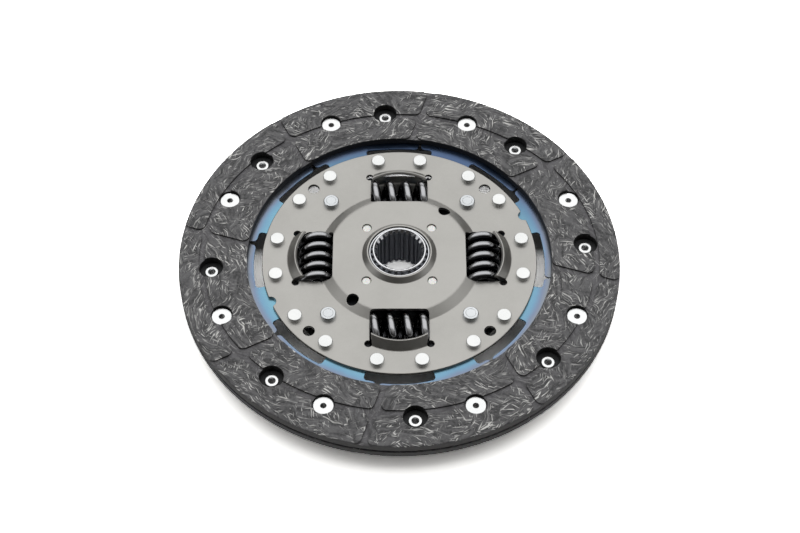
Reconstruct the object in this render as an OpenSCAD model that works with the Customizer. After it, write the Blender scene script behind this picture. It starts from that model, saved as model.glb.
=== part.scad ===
// Clutch disc with a sprung hub, for a dry single-plate clutch.
// The axis is Z. The origin is on the axis, in the middle plane of the two facings.
// +Z is the side where the main plate and its rivet heads lie.
// Plan angles are clock angles: degrees clockwise from +Y, seen from +Z.

/* [Facings] */
// Outer diameter of the friction facings
facing_od = 200; // [198:0.5:202]
// Inner diameter of the friction facings
facing_id = 138.5; // [136:0.1:139]
// Distance between the two friction faces
pack_t = 8.4; // [8.2:0.1:9]
// Distance between the backs of the two facings, which the segments fill
cushion_gap = 1.5; // [1.4:0.1:1.7]
// Radius of the circle of the facing rivets
facing_rivet_pcr = 85.3; // [84.5:0.1:86]
// Width of the grooves in the friction faces
groove_w = 2.6; // [1.6:0.1:3]
// Depth of the grooves in the friction faces
groove_d = 0.8; // [0.4:0.1:1]
// Radius of the corners of the friction pads
pad_corner_r = 3; // [1.5:0.5:3.5]
// Radius of the oval groove where it passes +X
oval_x_r = 89.6; // [88.5:0.1:90.5]
// Radius of the oval groove where it passes +Y
oval_y_r = 83.3; // [82.5:0.1:84.5]

/* [Cushion segments] */
// Thickness of the spring-steel segments
segment_t = 0.7; // [0.6:0.05:0.7]
// Inner radius of the slots between the segment necks
slot_in_r = 61.5; // [61:0.1:61.8]
// Outer radius of the slots between the segment necks
slot_out_r = 66.3; // [65.5:0.1:66.8]

/* [Plates] */
// Outer radius of the front plate
front_plate_r = 62.5; // [61.9:0.1:62.8]
// Outer radius of the rear plate
rear_plate_r = 54.5; // [54:0.5:56]
// Thickness of both plates
plate_t = 1.5; // [1.4:0.1:1.8]
// Gap between the two plates
plate_gap = 6.5; // [6.3:0.1:6.8]
// Height of the raised middle over the rim of the plate
dome_h = 3.05; // [2.9:0.05:3.2]
// Outer radius of the raised middle
dome_r = 32; // [31.5:0.5:33]
// Radius of the foot of its slope
dome_foot_r = 37; // [36.5:0.5:38]
// Radius of the circle of the segment rivets
segment_rivet_pcr = 56.7; // [56.5:0.1:57]
// Radius of the circle of the stop pins
stop_pin_pcr = 44.75; // [44.5:0.05:45]

/* [Springs] */
// Length of the spring windows along the spring
window_l = 26.4; // [26:0.1:27]
// Distance from the axis to the inner edge of the windows
window_in = 30.2; // [29.8:0.1:30.4]
// Distance from the axis to the middle of a spring
spring_r = 37.6; // [37.5:0.1:37.8]
// Outer diameter of the springs
spring_od = 17.4; // [16.8:0.1:17.4]

/* [Hub] */
// Number of teeth of the splined bore
spline_teeth = 26; // [20:2:28]
// Radius at the tips of the spline teeth
spline_tip_r = 10.15; // [10:0.05:10.4]
// Radius at the roots of the spline teeth
spline_root_r = 11.2; // [11:0.05:11.3]
// Height of the front end of the hub
hub_front_z = 8.7; // [8.5:0.1:9.4]
// Height of the rear end of the hub
hub_rear_z = -15; // [-18:0.5:-14]
// Twist of the hub to each side before the stop pins touch
twist = 8; // [5:0.5:8]

/* [Hidden] */
$fn = 96;
eps = 0.01;
corner_reach = 0.3;
through_h = 20;
sectors = 8;
sector = 360 / sectors;

// Facings: heights over the middle plane, and the skewed grooves that cross the ring
face_z = pack_t / 2;
back_z = cushion_gap / 2;
facing_r = facing_od / 2;
bore_r = facing_id / 2;
facing_edge_r = 0.6;
skew = 17.7;
skew_offset = 15.1;
flat_rivet_a = 22.5;
deep_rivet_a = 40.5;
rivet_seat_z = 2;
rivet_seat_r = 4.9;
access_r = 5.45;
tube_r = 2.1;
tube_bore_r = 1.35;
tube_hole_r = 2.2;
flat_head_r = 4.4;
flat_head_t = 0.8;
roll_r = 3.05;
roll_t = 0.8;
roll_mouth_r = 1.7;

// Segments: plan angles about the middle of the neck
segment_a = 22.5;
neck_half_a = 8.65;
root_half_a = 17.3;
root_in_r = 51.6;
paddle_from_a = -14.1;
paddle_out_r = 96;
slit_w = 1.4;
slit_corner_r = 1.8;
slot_corner_r = 1.6;
bend_from_a = 9.1;
bend_w = 9;
segment_rivet_a = 12.5;
segment_top_z = back_z;

// Plates
front_low_z = back_z;
front_top_z = front_low_z + plate_t;
mid_z = front_low_z - plate_gap / 2;
rim_edge = 0.25;
slope_a = atan(dome_h / (dome_foot_r - dome_r));
bend_r = 1.5;
bend_steps = 5;
neck_in_r = 14.05;
neck_out_r = 14.95;
neck_top_z = 7.55;
neck_edge = 0.25;
flank_a = 46;
neck_fillet_r = 0.8;
rear_hole_r = 16.6;
fold_r = 51;
lip_arc_r = 27;
lip_rise = 3.85;
lip_lean = 3.6;
lip_edge = 0.25;
lip_bend_r = 1;
lip_half_l = [11.8, 12.5];
lip_from = [fold_r - 2.1, fold_r - 6.5];
window_corner_r = 1.6;
rear_window_corner_r = 1;
relief_r = 1.75;
relief_x = 13.7;
relief_y = 46.8;
tooling_r = 2.65;
tooling_pcr = 56.6;
peg_pcr = 20.95;
peg_hole_r = 2.2;
drain_r = 2.75;
drain_pcr = 32.4;
drain_a = 40;
notch_r = 2.6;
notch_mouth_r = 1.2;
notch_a = 67.2;

// Solid rivets and stop pins
shank_r = 2.1;
shank_hole_r = 2.15;
rivet_head_r = 3.25;
rivet_head_t = 1.9;
rivet_bevel = 0.25;
shop_head_t = 1.5;
pin_head_r = 3.55;
pin_head_t = 1.9;
pin_bevel = 0.35;
pin_dish_r = 2.3;
pin_dish = 0.15;
pin_shank_r = 2.5;
pin_hole_r = 2.55;
pin_r = 5;

// Hub and its flange
outer_teeth = 26;
outer_root_r = 12.2;
outer_crest_r = 12.75;
outer_teeth_z = 6.9;
barrel_r = 15.2;
flange_t = 5.5;
flange_r = 50;
flange_top_z = mid_z + flange_t / 2;
flange_low_z = mid_z - flange_t / 2;
flange_window_in = 27.9;
flange_corner_r = 0.8;
tooth_play = 0.03;
stop_play = 0.15;

// Friction parts under the raised middles
dome_roof_z = front_top_z + dome_h - plate_t;
dome_floor_z = 2 * mid_z - dome_roof_z;
bush_in_r = 13;
bush_out_r = 13.75;
bush_top_z = 7;
bush_flange_r = 18.5;
bush_flange_t = 0.8;
ring_play = 0.05;
ring_r = 27;
peg_r = 1.9;
peg_top_z = 4.65;
rear_ring_in_r = 15.28;
rear_sleeve_r = 16.4;
rear_ring_t = 1.5;
washer_t = 0.8;
washer_in_r = 17;
dish_t = 0.9;

// Springs: turns between the outermost turns that show, wire, and facets
end_pitch = 1.01;
end_turns = 0.95;
rings_per_turn = 16;
wire_sides = 10;
spring_play = 0.1;

function at_clock(a, r) = [r * sin(a), r * cos(a)];
function unit(v) = v / norm(v);
function arc(c, r, a0, a1, n) =
    [for (i = [0:n]) let (a = a0 + (a1 - a0) * i / n) c + r * [cos(a), sin(a)]];

// Puts its children at a clock angle and radius, with their +Y pointing outwards
module clock(a, r = 0) {
    rotate(-a) translate([0, r, 0]) children();
}

// Plan of a sector of a ring between two clock angles
module ring_sector(r_in, r_out, a0, a1) {
    reach = r_out / cos((a1 - a0) / 4) + 1;
    intersection() {
        difference() {
            circle(r_out);
            circle(r_in);
        }
        polygon([[0, 0], at_clock(a0, reach), at_clock((a0 * 3 + a1) / 4, reach),
            at_clock((a0 + a1) / 2, reach), at_clock((a0 + a1 * 3) / 4, reach), at_clock(a1, reach)]);
    }
}

// Plan of what rounding takes off a corner at c, between edges that leave it along d1 and d2.
// It reaches a little past the edges, so that nothing thin is left beside them,
// and its circle is a hair larger, so that it crosses the edges and doesn't only touch them.
module corner_cut(c, d1, d2, r) {
    half = acos(unit(d1) * unit(d2)) / 2;
    run = r / tan(half);
    inwards = unit(unit(d1) + unit(d2));
    centre = c + inwards * r / sin(half);
    grow = 1 + corner_reach / r;
    difference() {
        polygon([centre, centre + (c + unit(d1) * run - centre) * grow, centre + (c - centre) * grow,
            centre + (c + unit(d2) * run - centre) * grow]);
        translate(centre) circle(r + eps, $fn = 48);
    }
}

// Facing grooves

oval_shift = (oval_x_r - oval_y_r) / (2 - sqrt(2));
oval_flat_r = oval_y_r + oval_shift;
oval_end_r = oval_x_r - oval_shift;

// Distance from the axis to the middle of the oval groove at a clock angle
function oval_r(a) =
    let (q = abs(((a % 180) + 180) % 180 - 90), by_x = q < 45, t = by_x ? q : 90 - q,
        d = by_x ? oval_shift : -oval_shift, r = by_x ? oval_end_r : oval_flat_r)
    d * cos(t) + sqrt(r * r - pow(d * sin(t), 2));

// Clock angle at which a skewed groove, moved sideways by side, is r away from the axis
function skew_at(r, side) = skew - asin((skew_offset + side) / r);

// Point where the skewed groove of sector k crosses the oval groove, with each moved sideways
function crossing(k, side, out) =
    let (a0 = k * sector + skew_at(oval_r(k * sector + 7), side),
        a1 = k * sector + skew_at(oval_r(a0) + out, side))
    at_clock(a1, oval_r(a1) + out);

module oval_quarter(shift_x, r, turn) {
    rotate(turn) translate([shift_x, 0]) intersection() {
        difference() {
            circle(r + groove_w / 2);
            circle(r - groove_w / 2);
        }
        polygon([[0, 0], [2 * r, -2 * r], [2 * r, 2 * r]]);
    }
}

module groove_plan() {
    for (turn = [0, 180]) {
        oval_quarter(oval_shift, oval_end_r, turn);
        oval_quarter(-oval_shift, oval_flat_r, turn + 90);
    }
    for (k = [0:sectors - 1]) clock(k * sector + skew) {
        translate([-skew_offset - groove_w / 2, bore_r / 2]) square([groove_w, facing_r]);
    }
    for (k = [0:sectors - 1], side = [-1, 1], out = [-1, 1]) pad_corner(k, side, out);
}

// Rounds the two corners of one pad that lie on the groove of sector k
module pad_corner(k, side, out) {
    half_w = groove_w / 2;
    rim = out > 0 ? facing_r : bore_r;
    a_rim = k * sector + skew_at(rim, -side * half_w);
    a_x = k * sector + 8;
    inner = crossing(k, -side * half_w, out * half_w);
    outer = at_clock(a_rim, rim);
    along = outer - inner;
    tangent_in = side * (at_clock(a_x + 1, oval_r(a_x + 1)) - at_clock(a_x - 1, oval_r(a_x - 1)));
    tangent_rim = side * [cos(a_rim), -sin(a_rim)];
    corner_cut(inner, along, tangent_in, pad_corner_r);
    corner_cut(outer, -along, tangent_rim, pad_corner_r);
}

// One facing as it lies in front, with its friction face up
module facing() {
    h = face_z - back_z;
    difference() {
        translate([0, 0, back_z]) rotate_extrude() {
            translate([bore_r, 0]) square([facing_r - bore_r - facing_edge_r, h]);
            translate([bore_r, 0]) square([facing_r - bore_r, h - facing_edge_r]);
            translate([facing_r - facing_edge_r, h - facing_edge_r]) circle(facing_edge_r, $fn = 48);
        }
        translate([0, 0, face_z - groove_d]) linear_extrude(2 * groove_d) groove_plan();
        for (k = [0:sectors - 1]) {
            clock(flat_rivet_a + k * sector, facing_rivet_pcr) {
                cylinder(h = 3 * face_z, r = tube_hole_r, center = true, $fn = 48);
                translate([0, 0, rivet_seat_z]) cylinder(h = face_z, r = rivet_seat_r, $fn = 48);
            }
            clock(deep_rivet_a + k * sector, facing_rivet_pcr)
                cylinder(h = 3 * face_z, r = access_r, center = true, $fn = 48);
        }
    }
}

// Turns a part of the front over to the rear, about the line half way between the two kinds of rivet
module turned_over() {
    turn = (flat_rivet_a + deep_rivet_a) / 2;
    rotate(-turn) rotate([0, 180, 0]) rotate(turn) children();
}

// Tubular rivet with a flat head in the facing and a rolled end on the segment
module tube_rivet() {
    seg_low_z = back_z - segment_t;
    roll_z = seg_low_z - roll_t / 2;
    difference() {
        union() {
            translate([0, 0, rivet_seat_z]) cylinder(h = flat_head_t, r = flat_head_r, $fn = 48);
            translate([0, 0, roll_z]) cylinder(h = rivet_seat_z - roll_z + eps, r = tube_r, $fn = 48);
            translate([0, 0, roll_z]) rotate_extrude() {
                translate([roll_r - roll_t / 2, 0]) circle(roll_t / 2, $fn = 32);
                translate([tube_bore_r, -roll_t / 2]) square([roll_r - roll_t / 2 - tube_bore_r, roll_t]);
            }
        }
        cylinder(h = 4 * face_z, r = tube_bore_r, center = true, $fn = 48);
        translate([0, 0, seg_low_z - roll_t - eps])
            cylinder(h = roll_t, r1 = roll_mouth_r, r2 = tube_bore_r, $fn = 48);
    }
}

module front_facing() {
    color("dimgray") facing();
}

module rear_facing() {
    color("dimgray") turned_over() facing();
}

module front_facing_rivets() {
    color("gainsboro") for (k = [0:sectors - 1])
        clock(flat_rivet_a + k * sector, facing_rivet_pcr) tube_rivet();
}

module rear_facing_rivets() {
    color("gainsboro") turned_over() front_facing_rivets();
}

// Plan of one segment, about the clock angle of its neck
module segment_root_plan() {
    ring_sector(root_in_r, slot_in_r, -root_half_a, root_half_a);
    ring_sector(slot_in_r - 1, slot_out_r + 1, -neck_half_a, neck_half_a);
    for (side = [-1, 1]) {
        out = at_clock(side * neck_half_a, 1);
        away = side * [out[1], -out[0]];
        corner_cut(out * slot_in_r, out, away, slot_corner_r);
        corner_cut(out * slot_out_r, -out, away, slot_corner_r);
    }
}

module segment_paddle_plan() {
    to_a = paddle_from_a + sector;
    difference() {
        ring_sector(slot_out_r, paddle_out_r, paddle_from_a, to_a);
        clock(paddle_from_a) translate([-slit_w / 2, 0]) square([slit_w, facing_r]);
        clock(to_a) translate([-slit_w / 2, 0]) square([slit_w, facing_r]);
        for (side = [-1, 1]) {
            a = side < 0 ? paddle_from_a : to_a;
            out = at_clock(a, 1);
            across = side * [-out[1], out[0]];
            corner = slot_out_r * out + across * slit_w / 2;
            corner_cut(corner, out, across, slit_corner_r);
        }
    }
}

// Side view of a paddle: flat against the front facing, then bent down to the rear one
module paddle_wave() {
    low = cushion_gap - segment_t;
    translate([0, 0, segment_top_z]) rotate([90, 0, 180]) linear_extrude(paddle_out_r)
        polygon([[facing_r, 0], [0, 0], [-bend_w, -low], [-facing_r, -low], [-facing_r, -low - segment_t],
            [-bend_w, -low - segment_t], [0, -segment_t], [facing_r, -segment_t]]);
}

module segment_holes() {
    for (side = [-1, 1]) clock(side * segment_rivet_a, segment_rivet_pcr)
        cylinder(h = 4 * cushion_gap, r = shank_hole_r, center = true, $fn = 48);
    for (a = [0, deep_rivet_a - flat_rivet_a]) clock(a, facing_rivet_pcr)
        cylinder(h = 4 * cushion_gap, r = tube_hole_r, center = true, $fn = 48);
}

module cushion_segment(number) {
    color("steelblue") clock(segment_a + (number - 1) * sector) difference() {
        union() {
            translate([0, 0, segment_top_z - segment_t]) linear_extrude(segment_t) segment_root_plan();
            intersection() {
                translate([0, 0, -cushion_gap]) linear_extrude(2 * cushion_gap) segment_paddle_plan();
                clock(bend_from_a) paddle_wave();
            }
        }
        segment_holes();
    }
}

// Solid rivet with a bevelled head on top of the plate and another one under the segment
module solid_rivet() {
    low = segment_top_z - segment_t;
    top = front_top_z + rivet_head_t;
    shop_low = low - shop_head_t;
    rotate_extrude() polygon([[0, shop_low], [rivet_head_r - 2 * rivet_bevel, shop_low],
        [rivet_head_r, shop_low + 2 * rivet_bevel], [rivet_head_r, low], [shank_r, low],
        [shank_r, front_top_z],
        [rivet_head_r, front_top_z], [rivet_head_r, top - rivet_bevel],
        [rivet_head_r - rivet_bevel, top], [0, top]], $fn = 48);
}

module segment_rivets() {
    color("silver") for (k = [0:sectors - 1], side = [-1, 1])
        clock(segment_a + k * sector + side * segment_rivet_a, segment_rivet_pcr) solid_rivet();
}

// Half section of a pressed plate, with its rim, slope and raised middle
function plate_section(rim_r, inner) =
    let (run = tan(slope_a / 2), outer_r = bend_r + plate_t, foot = [dome_foot_r + bend_r * run, outer_r],
        crest = [dome_r - outer_r * run, plate_t + dome_h - outer_r])
    concat([[rim_r - rim_edge, 0], [rim_r, rim_edge], [rim_r, plate_t - rim_edge],
        [rim_r - rim_edge, plate_t]],
        arc(foot, bend_r, 270, 270 - slope_a, bend_steps),
        arc(crest, outer_r, 90 - slope_a, 90, bend_steps), inner,
        arc(crest, bend_r, 90, 90 - slope_a, bend_steps),
        arc(foot, outer_r, 270 - slope_a, 270, bend_steps));

// Section of a window lip, from the rim of the plate to its free edge, about the middle of the lip's arc
lip_a = atan(lip_rise / lip_lean);
lip_bend = [lip_arc_r + lip_bend_r * tan(lip_a / 2), lip_bend_r + plate_t];
function lip_section() =
    let (along = [-cos(lip_a), sin(lip_a)], through = [-sin(lip_a), -cos(lip_a)],
        run = norm([lip_lean, lip_rise]) - lip_bend_r * tan(lip_a / 2),
        edge = lip_bend + lip_bend_r * through + along * run)
    concat([[lip_bend[0] + 1, 0], [lip_bend[0] + 1, plate_t]],
        arc(lip_bend, lip_bend_r, 270, 270 - lip_a, bend_steps),
        [edge - lip_edge * along, edge + lip_edge * through, edge + (plate_t - lip_edge) * through,
        edge + plate_t * through - lip_edge * along],
        arc(lip_bend, lip_bend_r + plate_t, 270 - lip_a, 270, bend_steps));

// Plan of a spring window, from its inner edge to the fold of the lip
module window_plan(corner_r) {
    half = window_l / 2;
    shoulder = lip_half_l[0] - 0.1;
    shoulder_y = relief_y + half - shoulder;
    difference() {
        intersection() {
            polygon([[-half, window_in], [half, window_in], [half, relief_y], [shoulder, shoulder_y],
                [shoulder, fold_r + 2], [-shoulder, fold_r + 2], [-shoulder, shoulder_y], [-half, relief_y]]);
            translate([0, fold_r - lip_arc_r]) circle(lip_bend[0]);
        }
        for (side = [-1, 1]) corner_cut([side * half, window_in], [-side, 0], [0, 1], corner_r);
    }
    for (side = [-1, 1]) translate([side * relief_x, relief_y]) circle(relief_r, $fn = 32);
}

// Lip of one window, cut to its width, which grows towards the free edge
module window_lip() {
    intersection() {
        translate([0, fold_r - lip_arc_r, 0]) rotate_extrude() polygon(lip_section());
        linear_extrude(plate_t + 2 * lip_rise) polygon([for (side = [-1, 1], i = [0:3])
            let (corner = side < 0 ? i : 3 - i, wide = lip_half_l[corner < 2 ? 0 : 1])
            [side * wide, [fold_r + 2, lip_from[0], lip_from[1], fold_r - 10][corner]]]);
    }
}

// Blank of a plate with windows and lips, lying on its rim with the middle raised
module plate_body(section, corner_r) {
    difference() {
        rotate_extrude() polygon(section);
        for (k = [0:3]) clock(90 * k) translate([0, 0, -1]) linear_extrude(plate_t + dome_h + 2) window_plan(corner_r);
        for (k = [0:3]) clock(45 + 90 * k, stop_pin_pcr)
            cylinder(h = 4 * plate_t, r = pin_hole_r, center = true, $fn = 48);
        for (side = [0, 180]) clock(drain_a + side, drain_pcr)
            cylinder(h = through_h, r = drain_r, center = true, $fn = 48);
    }
    for (k = [0:3]) clock(90 * k) window_lip();
}

// Outline of a rim notch with a rounded mouth, about the middle of the mouth
function notch_outline() =
    let (reach = notch_r + notch_mouth_r, mouth = sqrt(reach * reach - notch_mouth_r * notch_mouth_r),
        a = asin(notch_mouth_r / reach))
    concat(arc([mouth, -notch_mouth_r], notch_mouth_r, 90, 180 - a, 6),
        arc([0, 0], notch_r, -a, -180 + a, 16),
        arc([-mouth, -notch_mouth_r], notch_mouth_r, a, 90, 6), [[-mouth, plate_t], [mouth, plate_t]]);

module front_plate() {
    top = plate_t + dome_h;
    neck_z = neck_top_z - front_low_z;
    foot_r = neck_out_r + (neck_z - neck_edge - top) / tan(flank_a) + neck_fillet_r * tan(flank_a / 2);
    fillet = arc([foot_r, top + neck_fillet_r], neck_fillet_r, 270, 270 - flank_a, bend_steps);
    inner = concat(fillet, [[neck_out_r, neck_z - neck_edge], [neck_out_r - neck_edge, neck_z],
        [neck_in_r, neck_z], [neck_in_r, dome_h]]);
    color("silver") translate([0, 0, front_low_z]) difference() {
        plate_body(plate_section(front_plate_r, inner), window_corner_r);
        for (k = [0:3]) {
            clock(45 + 90 * k, tooling_pcr) cylinder(h = through_h, r = tooling_r, center = true, $fn = 48);
            clock(45 + 90 * k, peg_pcr) cylinder(h = through_h, r = peg_hole_r, center = true, $fn = 48);
        }
        for (k = [0:sectors - 1], side = [-1, 1])
            clock(segment_a + k * sector + side * segment_rivet_a, segment_rivet_pcr)
                cylinder(h = through_h, r = shank_hole_r, center = true, $fn = 48);
        for (side = [0, 180]) clock(notch_a + side, front_plate_r)
            translate([0, 0, -plate_t]) linear_extrude(3 * plate_t) polygon(notch_outline());
    }
}

module rear_plate() {
    top = plate_t + dome_h;
    inner = [[rear_hole_r, top], [rear_hole_r, dome_h]];
    color("silver") translate([0, 0, 2 * mid_z - front_low_z]) mirror([0, 0, 1])
        plate_body(plate_section(rear_plate_r, inner), rear_window_corner_r);
}

module stop_pin() {
    reach = plate_gap / 2;
    top = reach + plate_t + pin_head_t;
    half = [[pin_r, reach], [pin_shank_r, reach], [pin_shank_r, reach + plate_t], [pin_head_r, reach + plate_t],
        [pin_head_r, top - pin_bevel], [pin_head_r - pin_bevel, top], [pin_dish_r, top],
        [pin_dish_r - pin_dish, top - pin_dish], [0, top - pin_dish]];
    mirrored = [for (i = [len(half) - 1:-1:0]) [half[i][0], -half[i][1]]];
    translate([0, 0, mid_z]) rotate_extrude() polygon(concat(mirrored, half));
}

module stop_pins() {
    color("silver") for (k = [0:3]) clock(45 + 90 * k, stop_pin_pcr) stop_pin($fn = 48);
}

// Teeth as trapezoids between two radii, with their half angles at each
module teeth_plan(count, r0, half0, r1, half1, turn = 0) {
    for (k = [0:count - 1]) clock(turn + 360 * k / count)
        polygon([at_clock(-half0, r0), at_clock(half0, r0), at_clock(half1, r1), at_clock(-half1, r1)]);
}

// Plan of the toothed barrel, grown by some play where it is a hole
module toothed_barrel_plan(play = 0) {
    pitch = 360 / outer_teeth;
    circle(outer_root_r + play);
    intersection() {
        teeth_plan(outer_teeth, outer_root_r - 0.5, pitch * 0.32 + play * 4,
            outer_crest_r + 0.5, pitch * 0.16 + play * 4);
        circle(outer_crest_r + play);
    }
}

// Plan of the splined bore: the root circle less the teeth
module spline_plan() {
    pitch = 360 / spline_teeth;
    difference() {
        circle(spline_root_r);
        difference() {
            teeth_plan(spline_teeth, spline_root_r + 0.5, pitch * 0.40,
                spline_tip_r - 0.5, pitch * 0.13, pitch / 2);
            circle(spline_tip_r);
        }
    }
}

module hub() {
    chamfer = 0.5;
    mouth = 1.55;
    length = hub_front_z - hub_rear_z;
    color("lightgray") difference() {
        union() {
            translate([0, 0, hub_rear_z]) rotate_extrude() polygon([[0, 0], [barrel_r - 0.8, 0], [barrel_r, 0.8],
                [barrel_r, flange_low_z - hub_rear_z], [outer_root_r, flange_low_z - hub_rear_z],
                [outer_root_r, length - 0.3], [outer_root_r - 0.3, length], [0, length]]);
            translate([0, 0, flange_low_z - eps])
                linear_extrude(outer_teeth_z - flange_low_z + eps) toothed_barrel_plan();
        }
        translate([0, 0, hub_rear_z - 1]) linear_extrude(length + 2) spline_plan();
        translate([0, 0, hub_front_z - mouth])
            cylinder(h = mouth + eps, r1 = spline_tip_r - 0.1, r2 = spline_root_r + 0.25);
        translate([0, 0, hub_rear_z - eps])
            cylinder(h = 1.3, r1 = spline_root_r + chamfer, r2 = spline_tip_r - 0.1);
    }
}

// Notch of the flange for one stop pin, open at the rim
module stop_notch_plan() {
    half = twist + asin((pin_r + stop_play) / stop_pin_pcr);
    deep_r = stop_pin_pcr - pin_r - 0.3;
    difference() {
        ring_sector(deep_r, flange_r + 5, -half, half);
        for (side = [-1, 1]) {
            c = at_clock(side * half, deep_r);
            corner_cut(c, c, -side * [c[1], -c[0]], 2);
        }
    }
}

module flange_window_plan() {
    half = window_l / 2;
    difference() {
        translate([-half, flange_window_in]) square([window_l, flange_r]);
        for (side = [-1, 1]) corner_cut([side * half, flange_window_in], [-side, 0], [0, 1], flange_corner_r);
    }
}

module hub_flange() {
    color("darkgray") translate([0, 0, flange_low_z]) linear_extrude(flange_t) difference() {
        circle(flange_r);
        toothed_barrel_plan(tooth_play);
        for (k = [0:3]) {
            clock(90 * k) flange_window_plan();
            clock(45 + 90 * k) stop_notch_plan();
        }
    }
}

// Place of the wire along the spring after t turns, counted from the first turn that shows on top
function wire_x(t, turns, wire, half) =
    let (x0 = half - wire / 2, pitch = 2 * x0 / turns)
    t < 0 ? -x0 + t * wire * end_pitch :
    t > turns ? x0 + (t - turns) * wire * end_pitch : -x0 + t * pitch;

// Ring of points round the wire after t turns
function wire_ring(t, turns, wire, half) =
    let (x = wire_x(t, turns, wire, half), dt = 0.01, coil_r = (spring_od - wire) / 2,
        rise = wire_x(t + dt, turns, wire, half) - wire_x(t - dt, turns, wire, half),
        lead = atan(rise / (2 * dt * 2 * PI * coil_r)), phi = 90 + 360 * t)
    [for (j = [0:wire_sides - 1])
        let (a = 360 * j / wire_sides, u = wire / 2 * cos(a), v = wire / 2 * sin(a))
        [x + v * cos(lead),
            (coil_r + u) * cos(phi) + v * sin(lead) * sin(phi),
            (coil_r + u) * sin(phi) - v * sin(lead) * cos(phi)]];

// Coil spring along X with closed ends, ground flat
module coil_spring(turns, wire) {
    half = window_l / 2 - spring_play;
    steps = ceil((turns + 2 * end_turns) * rings_per_turn);
    rings = [for (i = [0:steps])
        wire_ring(-end_turns + (turns + 2 * end_turns) * i / steps, turns, wire, half)];
    sides = wire_sides;
    walls = [for (i = [0:steps - 1], j = [0:sides - 1])
        [i * sides + j, i * sides + (j + 1) % sides, (i + 1) * sides + (j + 1) % sides, (i + 1) * sides + j]];
    caps = [[for (j = [sides - 1:-1:0]) j], [for (j = [0:sides - 1]) steps * sides + j]];
    intersection() {
        polyhedron(points = [for (ring = rings, p = ring) p], faces = concat(walls, caps), convexity = 12);
        cube([2 * half, 2 * spring_od, 2 * spring_od], center = true);
    }
}

module damper_spring(number) {
    close = number % 2 == 0;
    color("black") clock(90 * (number - 1)) translate([0, spring_r, mid_z])
        coil_spring(close ? 4 : 3, close ? 4 : 4.2);
}

module centring_bush() {
    low = flange_top_z + ring_play;
    color("silver") rotate_extrude() polygon([[bush_in_r, low], [bush_flange_r, low],
        [bush_flange_r, low + bush_flange_t], [bush_out_r, low + bush_flange_t], [bush_out_r, bush_top_z - 0.2], [bush_out_r - 0.2, bush_top_z],
        [bush_in_r + 0.15, bush_top_z], [bush_in_r, bush_top_z - 0.15]]);
}

module front_friction_ring() {
    low = flange_top_z + ring_play;
    step_z = low + bush_flange_t;
    color("white") {
        rotate_extrude() polygon([[bush_out_r + 0.1, step_z], [bush_flange_r + 0.1, step_z], [bush_flange_r + 0.1, low],
            [ring_r, low], [ring_r, dome_roof_z], [bush_out_r + 0.1, dome_roof_z]]);
        for (k = [0:3]) clock(45 + 90 * k, peg_pcr) translate([0, 0, dome_roof_z - 1])
            cylinder(h = peg_top_z - dome_roof_z + 1, r = peg_r, $fn = 48);
    }
}

module rear_friction_ring() {
    top = flange_low_z - ring_play;
    color("white") rotate_extrude() polygon([[rear_ring_in_r, top], [ring_r, top], [ring_r, top - rear_ring_t],
        [rear_sleeve_r, top - rear_ring_t], [rear_sleeve_r, dome_floor_z - plate_t - 0.5],
        [rear_ring_in_r, dome_floor_z - plate_t - 0.5]]);
}

module pressure_washer() {
    top = flange_low_z - ring_play - rear_ring_t;
    color("silver") translate([0, 0, top - washer_t]) rotate_extrude()
        polygon([[washer_in_r, 0], [ring_r, 0], [ring_r, washer_t], [washer_in_r, washer_t]]);
}

module disc_spring() {
    top = flange_low_z - ring_play - rear_ring_t - washer_t;
    color("dimgray") rotate_extrude() polygon([[washer_in_r + 0.2, dome_floor_z], [washer_in_r + 0.6, dome_floor_z],
        [ring_r, top - dish_t], [ring_r, top], [ring_r - 0.4, top], [washer_in_r + 0.2, dome_floor_z + dish_t]]);
}

front_facing();
rear_facing();
front_facing_rivets();
rear_facing_rivets();
for (i = [1:sectors]) cushion_segment(i);
segment_rivets();
front_plate();
rear_plate();
stop_pins();
hub();
hub_flange();
for (i = [1:4]) damper_spring(i);
centring_bush();
front_friction_ring();
rear_friction_ring();
pressure_washer();
disc_spring();
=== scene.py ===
# %% [markdown]
# # A clutch disc with a sprung hub
#
# This disc sits between an engine and its gearbox. Two rings of friction lining are riveted to a
# ring of thin blued-steel segments. A pressed plate holds the segments, and a splined hub turns in
# it against four coil springs. The shapes come from a imported CAD model. This lesson gives them
# their finishes, winds smooth springs, and lights them.
#
# The box of the whole part is kept now. The table is set at its lowest point, and the box is
# printed at the end.

# %% Load the frame
import math

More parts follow.
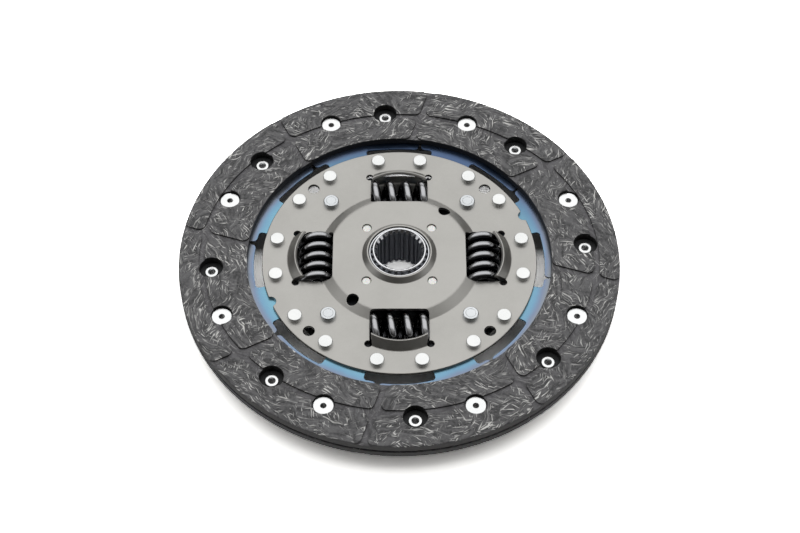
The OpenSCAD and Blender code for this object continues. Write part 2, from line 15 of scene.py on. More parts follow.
import bpy
from mathutils import Euler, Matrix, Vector


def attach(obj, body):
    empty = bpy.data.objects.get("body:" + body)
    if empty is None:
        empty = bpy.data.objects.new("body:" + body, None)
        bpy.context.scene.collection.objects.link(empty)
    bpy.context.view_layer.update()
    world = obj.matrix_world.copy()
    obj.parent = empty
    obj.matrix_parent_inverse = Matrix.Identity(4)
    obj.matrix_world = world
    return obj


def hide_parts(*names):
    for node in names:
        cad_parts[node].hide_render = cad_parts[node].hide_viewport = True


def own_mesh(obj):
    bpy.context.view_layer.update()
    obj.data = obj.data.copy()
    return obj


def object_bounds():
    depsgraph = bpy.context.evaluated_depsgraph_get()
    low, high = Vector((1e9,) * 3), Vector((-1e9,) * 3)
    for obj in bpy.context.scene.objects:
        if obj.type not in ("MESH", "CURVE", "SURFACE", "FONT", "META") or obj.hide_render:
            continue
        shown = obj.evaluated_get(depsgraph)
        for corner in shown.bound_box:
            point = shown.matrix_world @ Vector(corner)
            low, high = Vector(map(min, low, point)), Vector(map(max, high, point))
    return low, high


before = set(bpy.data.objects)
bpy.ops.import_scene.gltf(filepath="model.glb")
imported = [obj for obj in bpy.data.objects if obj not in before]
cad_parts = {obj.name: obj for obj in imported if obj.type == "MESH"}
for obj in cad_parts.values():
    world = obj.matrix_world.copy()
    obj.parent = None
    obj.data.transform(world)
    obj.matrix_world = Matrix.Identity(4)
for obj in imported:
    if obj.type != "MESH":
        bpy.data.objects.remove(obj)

MM = 0.001
cad_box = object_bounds()

# %% [markdown]
# ## Camera
#
# The disc lies flat and is seen from 54 degrees above. A lens of 77 mm from three quarters of a
# metre away gives the mild perspective of a product shot: the near rim is a little wider than the
# far one.

# %% Camera
LENS_MM = 77.02
CAMERA_PLACE_MM = (-1.80, -460.33, 630.38)
CAMERA_TURN_DEG = (35.941, -0.111, -0.1105)

camera_data = bpy.data.cameras.new("camera")
camera_data.lens = LENS_MM
camera_data.clip_start = 0.01
camera = bpy.data.objects.new("camera", camera_data)
camera.location = Vector(CAMERA_PLACE_MM) * MM
camera.rotation_euler = Euler([math.radians(a) for a in CAMERA_TURN_DEG])
bpy.context.scene.collection.objects.link(camera)
bpy.context.scene.camera = camera
print("camera at", [round(x, 3) for x in camera.location])

# %% [markdown]
# ## Small helpers
#
# Colours are written as sRGB hex values, as in a paint program, and one function turns them to the
# linear values that the renderer wants. One more function adds a node to a material. Its inputs are
# numbers, colours or another node's output, a colour ramp gets its stops, and it hands back the
# output that the next node needs.

# %% Helpers
def rgb(code):
    """An sRGB hex value as a linear colour."""
    parts = [int(code[i:i + 2], 16) / 255 for i in (0, 2, 4)]
    linear = [c / 12.92 if c <= 0.04045 else ((c + 0.055) / 1.055) ** 2.4 for c in parts]
    return (*linear, 1.0)


def add(tree, kind, inputs=(), out=None, stops=(), **settings):
    """Adds a shader node, sets it up, fills or links its inputs, and returns one of its outputs."""
    node = tree.nodes.new("ShaderNode" + kind)
    for name, value in settings.items():
        setattr(node, name, value)
    for number, (place, code) in enumerate(stops):
        if number > 1:
            node.color_ramp.elements.new(1.0)
        node.color_ramp.elements[number].position = place
        node.color_ramp.elements[number].color = rgb(code)
    for name, value in inputs.items() if isinstance(inputs, dict) else enumerate(inputs):
        if isinstance(value, bpy.types.NodeSocket):
            tree.links.new(value, node.inputs[name])
        else:
            node.inputs[name].default_value = value
    return node.outputs[out] if out else next((o for o in node.outputs if o.enabled), None)


def new_material(name):
    """An empty material and its node tree."""
    material = bpy.data.materials.new(name)
    material.use_nodes = True
    material.node_tree.nodes.clear()
    return material, material.node_tree


def paint(names, material):
    """Gives CAD nodes or pieces one material."""
    for name in names:
        mesh = bpy.data.objects[name].data
        mesh.materials.clear()
        mesh.materials.append(material)
    print(material.name, "on", len(names), "objects")


# %% [markdown]
# ## Floor and light
#
# The disc lies on a white studio table, at the height of the rear end of its hub. The table is a
# plain diffuse white. The camera sees it lighter than the metal does, as in a product shot whose
# white point is set below the table: it turns to paper white and keeps a tight shadow under the
# disc. Under the near half of the disc it is lifted less, because the light comes from behind and
# doesn't get there. Outside the rim of the plate, at the back, it is darkened: there the lining
# keeps the light off. So the slots in front and at the back look dark, and those at the sides have
# a dark end and a light one.
#
# A look through the slots meets the table about a centimetre farther back, because it is steep but
# not upright. So the ring in which the lining's shade lies has its centre that far behind the axis.

# %% Floor
TABLE_SIZE = 8
OPEN_LIFT = 3.0
OPEN_RADIUS, COVERED_RADIUS = 95 * MM, 80 * MM
FRONT_LIFT, BACK_LIFT = 1.0, 3.8
FRONT_Y, BACK_Y = -30 * MM, 15 * MM
SHADE = 0.09
SHADE_CENTRE = (0.0, 10.9 * MM, 0.0)
SHADE_RADIUS = 62.5 * MM
SHADE_EDGE = 2.5 * MM
LIT_Y, SHADED_Y = 13 * MM, 18 * MM

floor_z = cad_box[0].z
bpy.ops.mesh.primitive_plane_add(size=TABLE_SIZE, location=(0, 0, floor_z))
floor = bpy.context.object
floor.name = "floor"
material, tree = new_material("white_table")
place = add(tree, "TexCoord", out="Object")
radius = add(tree, "VectorMath", (place,), out="Value", operation="LENGTH")
under = add(tree, "MapRange", {"Value": radius, "From Min": OPEN_RADIUS,
                               "From Max": COVERED_RADIUS})
y = add(tree, "SeparateXYZ", (place,), out="Y")
# Painted shade: under the near half of the disc the table is lifted less.
near = add(tree, "MapRange", {"Value": y, "From Min": FRONT_Y, "From Max": BACK_Y,
                              "To Min": FRONT_LIFT, "To Max": BACK_LIFT})
# Painted shadow of the lining: the table is darkened outside the rim of the plate, at the back.
around = add(tree, "VectorMath", (place, SHADE_CENTRE), operation="SUBTRACT")
around = add(tree, "VectorMath", (around,), out="Value", operation="LENGTH")
rim = add(tree, "MapRange", {"Value": around, "From Min": SHADE_RADIUS - SHADE_EDGE,
                             "From Max": SHADE_RADIUS})
back = add(tree, "MapRange", {"Value": y, "From Min": LIT_Y, "From Max": SHADED_Y})
shaded = add(tree, "Math", (rim, back), operation="MULTIPLY")
far = add(tree, "Mix", {"Factor": shaded, "A": 1.0, "B": SHADE})
covered = add(tree, "Math", (near, far), operation="MULTIPLY")
lift = add(tree, "Mix", {"Factor": under, "A": OPEN_LIFT, "B": covered})
seen = add(tree, "LightPath", out="Is Camera Ray")
tone = add(tree, "Mix", {"Factor": seen, "A": rgb("E6E6E6"), "B": lift}, data_type="RGBA")
add(tree, "OutputMaterial", {"Surface": add(tree, "BsdfDiffuse", {"Color": tone})})
paint(["floor"], material)
print("floor at", round(floor_z, 4))

# %% [markdown]
# Flat metal shows what hangs above it, so a wide softbox hangs over the disc and a little behind
# it. Steep metal shows the walls of the room. Low white panels stand left, right and behind. The
# room gets darker downwards, and darkest behind the camera, so the neck and the lips of the plate
# get their light and dark flanks. Near the table it is lighter again, which keeps the plate grey
# when it is seen from low down on the far side.

# %% Lights
SOFTBOX_Y = 0.46
ROOM_UP = (0.0, 0.35, 0.94)
ROOM_BEHIND_CAMERA = 0.45


def area_light(name, place, size, target, radiance):
    """A white area light of that radiance, in metres, turned to a target."""
    data = bpy.data.lights.new(name, "AREA")
    data.shape = "RECTANGLE"
    data.size, data.size_y = size
    data.energy = radiance * math.pi * size[0] * size[1]
    light = bpy.data.objects.new(name, data)
    light.location = place
    light.rotation_euler = (Vector(target) - Vector(place)).to_track_quat("-Z", "Y").to_euler()
    bpy.context.scene.collection.objects.link(light)
    print(name, "of", size, "m at", place)


area_light("softbox", (0, SOFTBOX_Y, 0.80), (1.9, 1.35), (0, SOFTBOX_Y, 0), radiance=0.97)
for name, x in (("left_panel", -1.3), ("right_panel", 1.3)):
    area_light(name, (x, -0.20, 0.38), (0.9, 0.6), (0, 0, 0), radiance=0.8)
area_light("back_panel", (0, 1.4, 0.30), (1.2, 0.6), (0, 0, 0), radiance=1.0)
world = bpy.data.worlds.new("studio")
world.use_nodes = True
world.node_tree.nodes.clear()
tree = world.node_tree
direction = add(tree, "TexCoord", out="Generated")
height = add(tree, "VectorMath", (direction, ROOM_UP), out="Value", operation="DOT_PRODUCT")
walls = add(tree, "ValToRGB", {"Fac": height},
            stops=((0.0, "807E7B"), (0.15, "22201E"), (0.40, "575552"), (0.75, "C4C3C0")))
y = add(tree, "SeparateXYZ", (direction,), out="Y")
behind = add(tree, "MapRange", {"Value": y, "From Min": -0.8, "From Max": -0.4,
                                "To Min": ROOM_BEHIND_CAMERA, "To Max": 1.0})
room = add(tree, "Background", {"Color": walls, "Strength": behind})
paper = add(tree, "Background", {"Color": rgb("FFFFFF"), "Strength": 1.0})
seen = add(tree, "LightPath", out="Is Camera Ray")
add(tree, "OutputWorld", {"Surface": add(tree, "MixShader", (seen, room, paper))})
bpy.context.scene.world = world
bpy.context.scene.view_settings.view_transform = "Standard"

# %% [markdown]
# ## Damper springs
#
# The four springs are round wire, coiled with their end turns closed and then ground flat, so that
# they sit square in the windows. The CAD solids have facets, which a highlight along a glossy wire
# would show. So each spring is wound again: a circle is the section of the wire, and the Screw
# modifier sweeps it round the axis, with the open turns first and then a closed turn at each end.
# The ends are joined, closed, and cut flat with Bisect.
#
# Two springs have wide turns of 4.2 mm wire, and two have close turns of 4 mm wire.

# %% Wind a spring
SPRING_LENGTH = 26.2 * MM
SPRING_OUTER = 17.4 * MM
SPRING_RADIUS = 37.6 * MM
SPRING_Z = -2.5 * MM
CLOSED_TURNS = 0.95
CLOSED_PITCH = 1.01  # in wire thicknesses, so that the closed turns nearly touch
WIRE_SIDES = 20
STEPS_PER_TURN = 40
SHARP_EDGE = math.radians(35)
MERGE_DISTANCE = 1e-6


def select_only(objects):
    """Deselects everything, and then selects these, the first of them active."""
    bpy.ops.object.select_all(action="DESELECT")
    for obj in objects:
        obj.select_set(True)
    bpy.context.view_layer.objects.active = objects[0]


def sweep(wire, x, turn, turns, pitch):
    """Wire along X from place x, starting some turns after the top, for some turns at one pitch."""
    coil_r = (SPRING_OUTER - wire) / 2
    phase = 2 * math.pi * turn
    place = (x, -coil_r * math.sin(phase), coil_r * math.cos(phase))
    bpy.ops.object.select_all(action="DESELECT")
    bpy.ops.mesh.primitive_circle_add(vertices=WIRE_SIDES, radius=wire / 2, location=place,
                                      rotation=(math.pi / 2 + phase, 0, 0))
    bpy.ops.object.transform_apply(location=True, rotation=True, scale=True)
    run = bpy.context.object
    screw = run.modifiers.new("wind", "SCREW")
    screw.axis = "X"
    screw.angle = 2 * math.pi * turns
    screw.screw_offset = pitch * turns
    screw.steps = screw.render_steps = round(STEPS_PER_TURN * turns)
    screw.use_smooth_shade = True
    bpy.ops.object.modifier_apply(modifier="wind")
    return run


def wind_spring(name, turns, wire):
    """A spring along X about the origin, with closed ends cut flat."""
    reach = (SPRING_LENGTH - wire) / 2
    closed = wire * CLOSED_PITCH
    runs = [sweep(wire, -reach, 0, turns, 2 * reach / turns),
            sweep(wire, -reach - closed * CLOSED_TURNS, -CLOSED_TURNS, CLOSED_TURNS, closed),
            sweep(wire, reach, turns, CLOSED_TURNS, closed)]
    select_only(runs)
    bpy.ops.object.join()
    spring = bpy.context.object
    spring.name = spring.data.name = name
    bpy.ops.object.mode_set(mode="EDIT")
    bpy.ops.mesh.select_all(action="SELECT")
    bpy.ops.mesh.remove_doubles(threshold=MERGE_DISTANCE)
    bpy.ops.mesh.select_all(action="DESELECT")
    bpy.ops.mesh.select_mode(type="EDGE")
    bpy.ops.mesh.select_non_manifold()
    bpy.ops.mesh.fill_holes(sides=WIRE_SIDES)
    for side in (-1, 1):
        bpy.ops.mesh.select_all(action="SELECT")
        bpy.ops.mesh.bisect(plane_co=(side * SPRING_LENGTH / 2, 0, 0), plane_no=(side, 0, 0),
                            use_fill=True, clear_outer=True)
    bpy.ops.mesh.select_all(action="SELECT")
    bpy.ops.mesh.normals_make_consistent(inside=False)
    bpy.ops.object.mode_set(mode="OBJECT")
    bpy.ops.object.shade_smooth_by_angle(angle=SHARP_EDGE)
    return spring


wide = wind_spring("wide_spring_1", turns=3, wire=4.2 * MM)
close = wind_spring("close_spring_2", turns=4, wire=4.0 * MM)
for spring in (wide, close):
    print(spring.name, len(spring.data.polygons), "faces")

# %% [markdown]
# The two wound springs are copied for the opposite windows, and each one is hung on the body of
# springs. At 8 degrees of twist the window is 5.2 mm shorter, which would leave a spring four
# fifths of its length; that share is printed.

# %% Set the springs in their windows
HUB_TWIST = math.radians(8)
QUARTER_TURN = math.pi / 2

squeezed = 1 - SPRING_RADIUS * math.sin(HUB_TWIST) / SPRING_LENGTH
springs = []
for number, model in ((1, wide), (2, close), (3, wide), (4, close)):
    spring = model
    if number > 2:
        spring = model.copy()
        spring.data = model.data.copy()
        bpy.context.scene.collection.objects.link(spring)
        spring.name = spring.data.name = model.name[:-1] + str(number)
    springs.append(spring)
for number, spring in enumerate(springs):
    turn = -QUARTER_TURN * number
    spring.rotation_euler = (0, 0, turn)
    spring.location = (-SPRING_RADIUS * math.sin(turn), SPRING_RADIUS * math.cos(turn), SPRING_Z)
    select_only([spring])
    middle = tuple(spring.location)
    bpy.ops.object.transform_apply(location=True, rotation=True, scale=True)
    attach(spring, "springs")
    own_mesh(spring)
    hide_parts("damper_spring_%d" % (number + 1))
    print(spring.name, "at", [round(c / MM, 1) for c in middle], "mm, squeezed to",
          round(squeezed, 2))

# %% [markdown]
# ## Friction lining
#
# The lining is yarn of glass and copper fibre, wound to and fro between the inner and outer edge,
# pressed hot in dark resin and ground flat. Grinding cuts the yarn open, so the pale ends of fibres
# show as short curved strokes that lie together in bundles. A bundle runs along the rim near an
# edge and anyhow in the middle of the band, where the yarns cross.
#
# So the face is laid out in coordinates along and across the ring, cells of a Voronoi pattern give
# each bundle its own angle, and noise drawn out along that angle gives the strokes. They are half a
# millimetre wide and 4 to 7 mm long, and slow noise leaves some patches nearly bare. The floors of
# the grooves aren't ground, and keep more of their skin of resin. The walls and edges get painted
# shade.

# %% Fibre bundles
BAND_MIDDLE = 84.4 * MM
BAND_HALF = 15.6 * MM
WAVES_PER_M = 110.0  # 9 mm long
CELL_BEND = 8 * MM
STROKE_BEND = 5 * MM
NOISE_SLICES = 60.0


def bundles(tree, place, ring, cell_mm, seed):
    """Coordinates along each bundle of fibres, as wide as its cell, and a number of its own."""
    waves = add(tree, "TexNoise", {"Vector": place, "Scale": WAVES_PER_M, "Detail": 1.0},
                out="Color")
    waves = add(tree, "VectorMath", (waves, (0.5, 0.5, 0.5)), operation="SUBTRACT")
    # The waves go from -0.5 to 0.5, so the cells' borders wander by 4 mm each way, and the
    # strokes by 2.5 mm.
    bent = add(tree, "VectorMath", (waves, (CELL_BEND, CELL_BEND, 0.0), place),
               operation="MULTIPLY_ADD")
    bent = add(tree, "VectorMath", (bent, (seed, 0.0, 0.0)), operation="ADD")
    cell = add(tree, "TexVoronoi", {"Vector": bent, "Scale": 1000.0 / cell_mm}, out="Color",
               voronoi_dimensions="2D")
    own, other = (add(tree, "SeparateXYZ", (cell,), out=axis) for axis in "XY")
    # A bundle takes one angle from its cell's own place, which is 0 in mid band and 1 at an edge.
    middle = add(tree, "VectorMath", (cell.node.outputs["Position"], (seed, 0.0, 0.0)),
                 operation="SUBTRACT")
    radius = add(tree, "VectorMath", (middle,), out="Value", operation="LENGTH")
    across = add(tree, "Math", (radius, BAND_MIDDLE), operation="SUBTRACT")
    across = add(tree, "Math", (across,), operation="ABSOLUTE")
    across = add(tree, "Math", (across, BAND_HALF), operation="DIVIDE")
    spread = add(tree, "MapRange", {"Value": across, "From Min": 0.5, "From Max": 1.0,
                                    "To Min": 1.4, "To Max": 0.6})
    turn = add(tree, "MapRange", {"Value": own, "To Min": -1.0, "To Max": 1.0})
    turn = add(tree, "Math", (turn, spread), operation="MULTIPLY")
    curved = add(tree, "VectorMath", (waves, (STROKE_BEND, STROKE_BEND, 0.0), ring),
                 operation="MULTIPLY_ADD")
    turned = add(tree, "VectorRotate", {"Vector": curved, "Angle": turn}, rotation_type="Z_AXIS")
    return turned, other


def strokes(tree, turned, own, width_mm, length_mm, low, high):
    """Noise drawn out along the bundles, a slice of it for each, cut off between two levels."""
    stretched = add(tree, "VectorMath", (turned, (1000.0 / width_mm, 1000.0 / length_mm, 0.0)),
                    operation="MULTIPLY")
    own_slice = add(tree, "Math", (own, NOISE_SLICES), operation="MULTIPLY")
    shifted = add(tree, "CombineXYZ", (0.0, 0.0, own_slice))
    vector = add(tree, "VectorMath", (stretched, shifted), operation="ADD")
    noise = add(tree, "TexNoise", {"Vector": vector, "Scale": 1.0, "Detail": 0.5,
                                   "Distortion": 0.4})
    return add(tree, "MapRange", {"Value": noise, "From Min": low, "From Max": high})


# %% [markdown]
# The faces lie 4.2 mm from the middle plane and the floors of the grooves 3.4 mm, so the height
# tells what was ground. Walls are told by their normal, and are painted dark as painted shade: the
# inner edge and the walls of the grooves and holes darkest, and the outer edge a lighter grey, as
# it lies out of the shade.

# %% Friction lining
PATCHES_PER_M = 150.0  # 7 mm wide
GRAINS_PER_M = 900.0  # 1.1 mm wide, coarser than the real grit, which is too fine to show
GROUND_FROM, GROUND_TO = 3.6 * MM, 3.9 * MM
OUTER_FROM, OUTER_TO = 96 * MM, 98 * MM


def wound_friction_lining():
    """Ground yarn on the faces, resin in the grooves, and painted shade on the walls and edges."""
    material, tree = new_material("wound_friction_lining")
    place = add(tree, "TexCoord", out="Object")
    x, y, z = (add(tree, "SeparateXYZ", (place,), out=axis) for axis in "XYZ")
    radius = add(tree, "CombineXYZ", (x, y, 0.0))
    radius = add(tree, "VectorMath", (radius,), out="Value", operation="LENGTH")
    along = add(tree, "Math", (y, x), operation="ARCTAN2")
    along = add(tree, "Math", (along, BAND_MIDDLE), operation="MULTIPLY")
    ring = add(tree, "CombineXYZ", (radius, along, 0.0))
    coarse, coarse_own = bundles(tree, place, ring, cell_mm=11.0, seed=0.0)
    fine, fine_own = bundles(tree, place, ring, cell_mm=7.0, seed=3.0)
    fibres = add(tree, "Math", (
        strokes(tree, coarse, coarse_own, width_mm=0.55, length_mm=6.5, low=0.63, high=0.74),
        strokes(tree, fine, fine_own, width_mm=0.45, length_mm=3.5, low=0.63, high=0.74)),
        operation="MAXIMUM")
    patches = add(tree, "TexNoise", {"Vector": place, "Scale": PATCHES_PER_M, "Detail": 2.0})
    patches = add(tree, "MapRange", {"Value": patches, "From Min": 0.40, "From Max": 0.58,
                                     "To Min": 0.2})
    fibres = add(tree, "Math", (fibres, patches), operation="MULTIPLY")
    yarn = strokes(tree, coarse, coarse_own, width_mm=1.6, length_mm=9.0, low=0.35, high=0.65)
    grain = add(tree, "TexNoise", {"Vector": place, "Scale": GRAINS_PER_M, "Detail": 3.0,
                                   "Roughness": 0.6})
    tone = add(tree, "Math", (yarn, 0.45, grain), operation="MULTIPLY_ADD")
    resin = add(tree, "ValToRGB", {"Fac": tone}, stops=((0.40, "353537"), (1.0, "646466")))
    ground = add(tree, "Mix", {"Factor": fibres, "A": resin, "B": rgb("D8D8D6")}, data_type="RGBA")
    high = add(tree, "Math", (z,), operation="ABSOLUTE")
    face = add(tree, "MapRange", {"Value": high, "From Min": GROUND_FROM, "From Max": GROUND_TO,
                                  "To Min": 0.35})
    skin = add(tree, "ValToRGB", {"Fac": tone}, stops=((0.35, "4B4A4D"), (0.95, "646367")))
    skin = add(tree, "Mix", {"Factor": face, "A": skin, "B": ground}, data_type="RGBA")
    # Painted shade: walls are painted dark, and less dark on the outer edge, which is out of the
    # shade.
    upright = add(tree, "SeparateXYZ", (add(tree, "TexCoord", out="Normal"),), out="Z")
    upright = add(tree, "Math", (upright,), operation="ABSOLUTE")
    wall = add(tree, "MapRange", {"Value": upright, "From Min": 0.3, "From Max": 0.7})
    outer = add(tree, "MapRange", {"Value": radius, "From Min": OUTER_FROM, "From Max": OUTER_TO})
    edge = add(tree, "Mix", {"Factor": outer, "A": rgb("1C1C1D"), "B": rgb("525253")},
               data_type="RGBA")
    colour = add(tree, "Mix", {"Factor": wall, "A": edge, "B": skin}, data_type="RGBA")
    relief = add(tree, "Math", (fibres, 0.5, tone), operation="MULTIPLY_ADD")
    rounded = add(tree, "Bevel", {"Radius": 0.5 * MM}, samples=6)
    rough = add(tree, "Bump", {"Height": relief, "Strength": 0.5, "Distance": 0.12 * MM,
                               "Normal": rounded})
    shader = add(tree, "BsdfPrincipled", {"Base Color": colour, "Roughness": 0.6,
                                          "Specular IOR Level": 0.4, "Normal": rough})
    add(tree, "OutputMaterial", {"Surface": shader})
    return material


paint(["front_facing", "rear_facing"], wound_friction_lining())

# %% [markdown]
# ## Metal finishes
#
# All the steel parts share one recipe. A metal is mostly what it reflects, so the recipe sets its
# colour, how rough it is, and how both vary from place to place. Cloudy noise, two centimetres
# wide, is the bath or the furnace, and grain of a few tenths of a millimetre is the skin of the
# sheet. The Bevel node rounds the look of a sheared edge, so that it catches the light as a thin
# bright line. Where a coat hides the metal, or where painted shade makes it almost black, a finish
# can hand back a second value that makes the place dull.

# %% One recipe for metal
CLOUDS_PER_M = 45.0  # 22 mm wide
ROUGHNESS_SWING = 0.05
GRAIN_DEPTH = 0.03 * MM


def metal(name, dark, light, roughness, grain_mm, bump, edge_mm, finish=None):
    """A metal between two colours, with clouds and grain, and a finish where it has one.

    A finish gives the colour, and how dull each place is.
    """
    material, tree = new_material(name)
    place = add(tree, "TexCoord", out="Object")
    clouds = add(tree, "TexNoise", {"Vector": place, "Scale": CLOUDS_PER_M, "Detail": 4.0,
                                    "Roughness": 0.55})
    grain = add(tree, "TexNoise", {"Vector": place, "Scale": 1000.0 / grain_mm, "Detail": 2.0})
    tone = add(tree, "Math", (grain, 0.25, clouds), operation="MULTIPLY_ADD")
    base = add(tree, "ValToRGB", {"Fac": tone}, stops=((0.45, dark), (0.80, light)))
    rough = add(tree, "MapRange", {"Value": clouds, "From Min": 0.3, "From Max": 0.7,
                                   "To Min": roughness - ROUGHNESS_SWING,
                                   "To Max": roughness + ROUGHNESS_SWING})
    edge = add(tree, "Bevel", {"Radius": edge_mm * MM}, samples=6)
    normal = add(tree, "Bump", {"Height": grain, "Strength": bump, "Distance": GRAIN_DEPTH,
                                "Normal": edge})
    inputs = {"Base Color": base, "Metallic": 1.0, "Roughness": rough, "Normal": normal}
    if finish:
        inputs["Base Color"], dull = finish(tree, place, base, clouds)
        inputs["Metallic"] = add(tree, "Math", (1.0, dull), operation="SUBTRACT")
        inputs["Roughness"] = add(tree, "Math", (dull, 0.3, rough), operation="MULTIPLY_ADD")
    add(tree, "OutputMaterial", {"Surface": add(tree, "BsdfPrincipled", inputs)})
    return material


def from_axis(tree, place):
    """The distance from the axis of the disc."""
    flat = add(tree, "VectorMath", (place, (1.0, 1.0, 0.0)), operation="MULTIPLY")
    return add(tree, "VectorMath", (flat,), out="Value", operation="LENGTH")


# %% [markdown]
# The pressed plates are deep-drawing steel with a thin manganese phosphate coat. It is a warm light
# grey with a silky grain, neither bright nor matt. The washer behind them is the same sheet.

# %% Plates
paint(["front_plate", "rear_plate", "pressure_washer"],
      metal("phosphated_steel_plate", "9B9A97", "A7A6A3", roughness=0.39, grain_mm=0.35,
            bump=0.25, edge_mm=0.3))

# %% [markdown]
# Rivets and stop pins are cold-headed from soft steel wire and zinc plated: a cool, almost white
# metal. Their heads were struck by a tool, so they are smoother than the sheet round them.

# %% Rivets
paint(["front_facing_rivets", "rear_facing_rivets"],
      metal("zinc_plated_facing_rivet", "D0D2D3", "DDDEDF", roughness=0.26, grain_mm=0.5,
            bump=0.15, edge_mm=0.25))
paint(["segment_rivets"],
      metal("zinc_plated_rivet", "C9CBCB", "D6D7D7", roughness=0.28, grain_mm=0.5,
            bump=0.2, edge_mm=0.35))
paint(["stop_pins"],
      metal("zinc_plated_pin", "B4B8BB", "C6C9CC", roughness=0.24, grain_mm=0.5,
            bump=0.15, edge_mm=0.35))

# %% [markdown]
# The segments are spring steel, tempered and blued. The oxide that gives the colour is thicker
# where the furnace was hotter, so it runs from pale cyan on the necks to a grey lilac beside the
# lining within a few millimetres. Towards the far side of the ring a darker blue is painted as
# painted shade, where the lining keeps the light off. Between the facings the segments are painted
# almost black and dull, as painted shade where no light reaches.

# %% Segments
NECK_RADIUS, LINING_RADIUS = 62 * MM, 69 * MM
GAP_SHADE_FROM, GAP_SHADE_TO = 69.3 * MM, 69.9 * MM
PAINTED_SHADE_SIDE = (0.26, 0.97, 0.0)
PAINTED_SHADE_FROM, PAINTED_SHADE_TO = 25 * MM, 63 * MM


def temper_colours(tree, place, base, clouds):
    """Blue on the necks, lilac beside the facing, painted shade on the far side and between the
    facings.
    """
    radius = from_axis(tree, place)
    drift = add(tree, "MapRange", {"Value": clouds, "To Min": -2.5 * MM, "To Max": 2.5 * MM})
    drift = add(tree, "Math", (radius, drift), operation="ADD")
    cooler = add(tree, "MapRange", {"Value": drift, "From Min": NECK_RADIUS,
                                    "From Max": LINING_RADIUS})
    strip = add(tree, "ValToRGB", {"Fac": cooler},
                stops=((0.0, "6F9BAE"), (0.45, "6B8FA8"), (0.75, "737F95"), (1.0, "81878F")))
    # Painted shade: a darker blue towards the far side of the ring.
    far_side_shade = add(tree, "VectorMath", (place, PAINTED_SHADE_SIDE), out="Value", operation="DOT_PRODUCT")
    far_side_shade = add(tree, "MapRange", {"Value": far_side_shade, "From Min": PAINTED_SHADE_FROM, "From Max": PAINTED_SHADE_TO})
    blue = add(tree, "Mix", {"Factor": far_side_shade, "A": strip, "B": rgb("4C5E7C")}, data_type="RGBA")
    # Painted shade: almost black and dull between the facings.
    gap_shade = add(tree, "MapRange", {"Value": radius, "From Min": GAP_SHADE_FROM, "From Max": GAP_SHADE_TO})
    colour = add(tree, "Mix", {"Factor": gap_shade, "A": blue, "B": rgb("15171A")}, data_type="RGBA")
    return colour, gap_shade


paint(["cushion_segment_%d" % i for i in range(1, 9)],
      metal("blued_spring_steel", "6F9BAE", "7AA2B5", roughness=0.30, grain_mm=0.6,
            bump=0.15, edge_mm=0.2, finish=temper_colours))

# %% [markdown]
# The hub is forged, and turned bright at its front end. The spline was cut by a broach and
# phosphated, so its bore is a dull blue-grey below the chamfer at its mouth, and so are the teeth
# outside that drive the flange. The bush round it is turned as bright. The flange and the disc
# spring inside are nearly black.

# %% Hub
BORE_RADIUS, CHAMFER_Z = 11.3 * MM, 7.2 * MM
BARREL_RADIUS, TEETH_Z = 12.1 * MM, 7.0 * MM
BRIGHT = ("BDBFC3", "E0E1E4")
TURNED_LINES_PER_M = 2500.0  # 0.4 mm apart, coarser than a real lathe leaves, so that they show
DULL_COAT = 0.75


def turned_and_broached(tree, place, base, clouds):
    """Turned rings on the faces, and a dull coat in the bore and on the teeth."""
    radius = from_axis(tree, place)
    height = add(tree, "SeparateXYZ", (place,), out="Z")
    rings = add(tree, "TexNoise", {"Vector": add(tree, "CombineXYZ", (radius, 0.0, height)),
                                   "Scale": TURNED_LINES_PER_M, "Detail": 1.0})
    bright = add(tree, "ValToRGB", {"Fac": rings}, stops=((0.35, BRIGHT[0]), (0.65, BRIGHT[1])))
    inside = add(tree, "MapRange", {"Value": radius, "From Min": BORE_RADIUS + 0.05 * MM,
                                    "From Max": BORE_RADIUS - 0.05 * MM})
    below = add(tree, "MapRange", {"Value": height, "From Min": CHAMFER_Z + 0.1 * MM,
                                   "From Max": CHAMFER_Z - 0.1 * MM})
    bore = add(tree, "Math", (inside, below), operation="MULTIPLY")
    lower = add(tree, "MapRange", {"Value": height, "From Min": TEETH_Z,
                                   "From Max": TEETH_Z - 0.05 * MM})
    outside = add(tree, "MapRange", {"Value": radius, "From Min": BARREL_RADIUS,
                                     "From Max": BARREL_RADIUS + 0.05 * MM})
    teeth = add(tree, "Math", (lower, outside), operation="MULTIPLY")
    coat = add(tree, "Math", (bore, teeth), operation="MAXIMUM")
    coat = add(tree, "Math", (coat, DULL_COAT), operation="MULTIPLY")
    colour = add(tree, "Mix", {"Factor": coat, "A": bright, "B": rgb("404858")}, data_type="RGBA")
    return colour, coat


paint(["hub"],
      metal("turned_and_broached_steel", *BRIGHT, roughness=0.24, grain_mm=0.5, bump=0.1,
            edge_mm=0.2, finish=turned_and_broached))
paint(["centring_bush"],
      metal("turned_steel_bush", *BRIGHT, roughness=0.24, grain_mm=0.5, bump=0.1, edge_mm=0.2))
paint(["hub_flange", "disc_spring"],
      metal("dark_oiled_steel", "2C2D30", "3E4043", roughness=0.38, grain_mm=0.5, bump=0.2,
            edge_mm=0.2))

# %% [markdown]
# The springs are hardened and blackened wire. Each turn gets a narrow bright crown along its
# outermost line, between black flanks: a painted highlight.

# %% Springs
HIGHLIGHT_FROM, HIGHLIGHT_TO = 8.05 * MM, 8.65 * MM
HIGHLIGHT_WOBBLE = 0.15 * MM


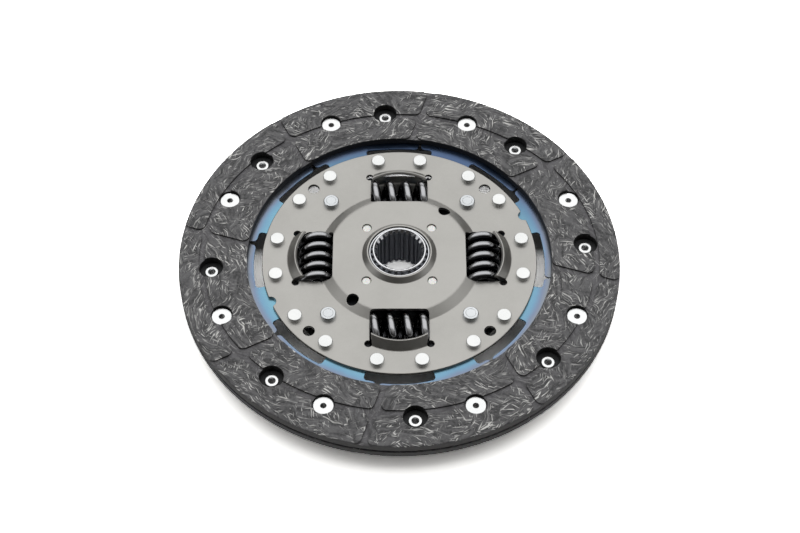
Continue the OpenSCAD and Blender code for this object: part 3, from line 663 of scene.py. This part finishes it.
def rubbed_crown(tree, place, base, clouds):
    """A painted highlight where the wire is farthest from the axis of its spring, and black below.
    """
    x, y, z = (add(tree, "SeparateXYZ", (place,), out=axis) for axis in "XYZ")
    x, y = (add(tree, "Math", (value,), operation="ABSOLUTE") for value in (x, y))
    sideways = add(tree, "Math", (x, y), operation="MAXIMUM")
    sideways = add(tree, "Math", (sideways, SPRING_RADIUS), operation="SUBTRACT")
    upwards = add(tree, "Math", (z, SPRING_Z), operation="SUBTRACT")
    out = add(tree, "CombineXYZ", (sideways, upwards, 0.0))
    out = add(tree, "VectorMath", (out,), out="Value", operation="LENGTH")
    wobble = add(tree, "MapRange", {"Value": clouds, "To Min": -HIGHLIGHT_WOBBLE, "To Max": HIGHLIGHT_WOBBLE})
    wobbled = add(tree, "Math", (out, wobble), operation="ADD")
    # Painted highlight: a bright band along each turn's outermost line.
    painted_highlight = add(tree, "MapRange", {"Value": wobbled, "From Min": HIGHLIGHT_FROM, "From Max": HIGHLIGHT_TO})
    colour = add(tree, "Mix", {"Factor": painted_highlight, "A": base, "B": rgb("A2A3A6")}, data_type="RGBA")
    return colour, 0.0


paint([spring.name for spring in springs],
      metal("blackened_spring_wire", "3A3B3E", "4C4D50", roughness=0.18, grain_mm=0.8,
            bump=0.05, edge_mm=0.1, finish=rubbed_crown))

# %% [markdown]
# The rings that rub on the flange are white nylon, moulded. The front one has four pegs that show
# in the plate. A little light goes into nylon before it comes back, which softens the edges of the
# pegs.

# %% Nylon rings
HAZE_PER_M = 300.0  # 3 mm wide

material, tree = new_material("white_nylon")
place = add(tree, "TexCoord", out="Object")
haze = add(tree, "TexNoise", {"Vector": place, "Scale": HAZE_PER_M, "Detail": 2.0})
white = add(tree, "ValToRGB", {"Fac": haze}, stops=((0.3, "F0F0ED"), (0.7, "FAFAF8")))
rounded = add(tree, "Bevel", {"Radius": 0.3 * MM}, samples=6)
shader = add(tree, "BsdfPrincipled", {"Base Color": white, "Roughness": 0.4,
                                      "Subsurface Weight": 0.08, "Subsurface Scale": 0.5 * MM,
                                      "Normal": rounded})
add(tree, "OutputMaterial", {"Surface": shader})
paint(["front_friction_ring", "rear_friction_ring"], material)

# %% Finish
print("CAD box", [[round(c, 4) for c in v] for v in cad_box])
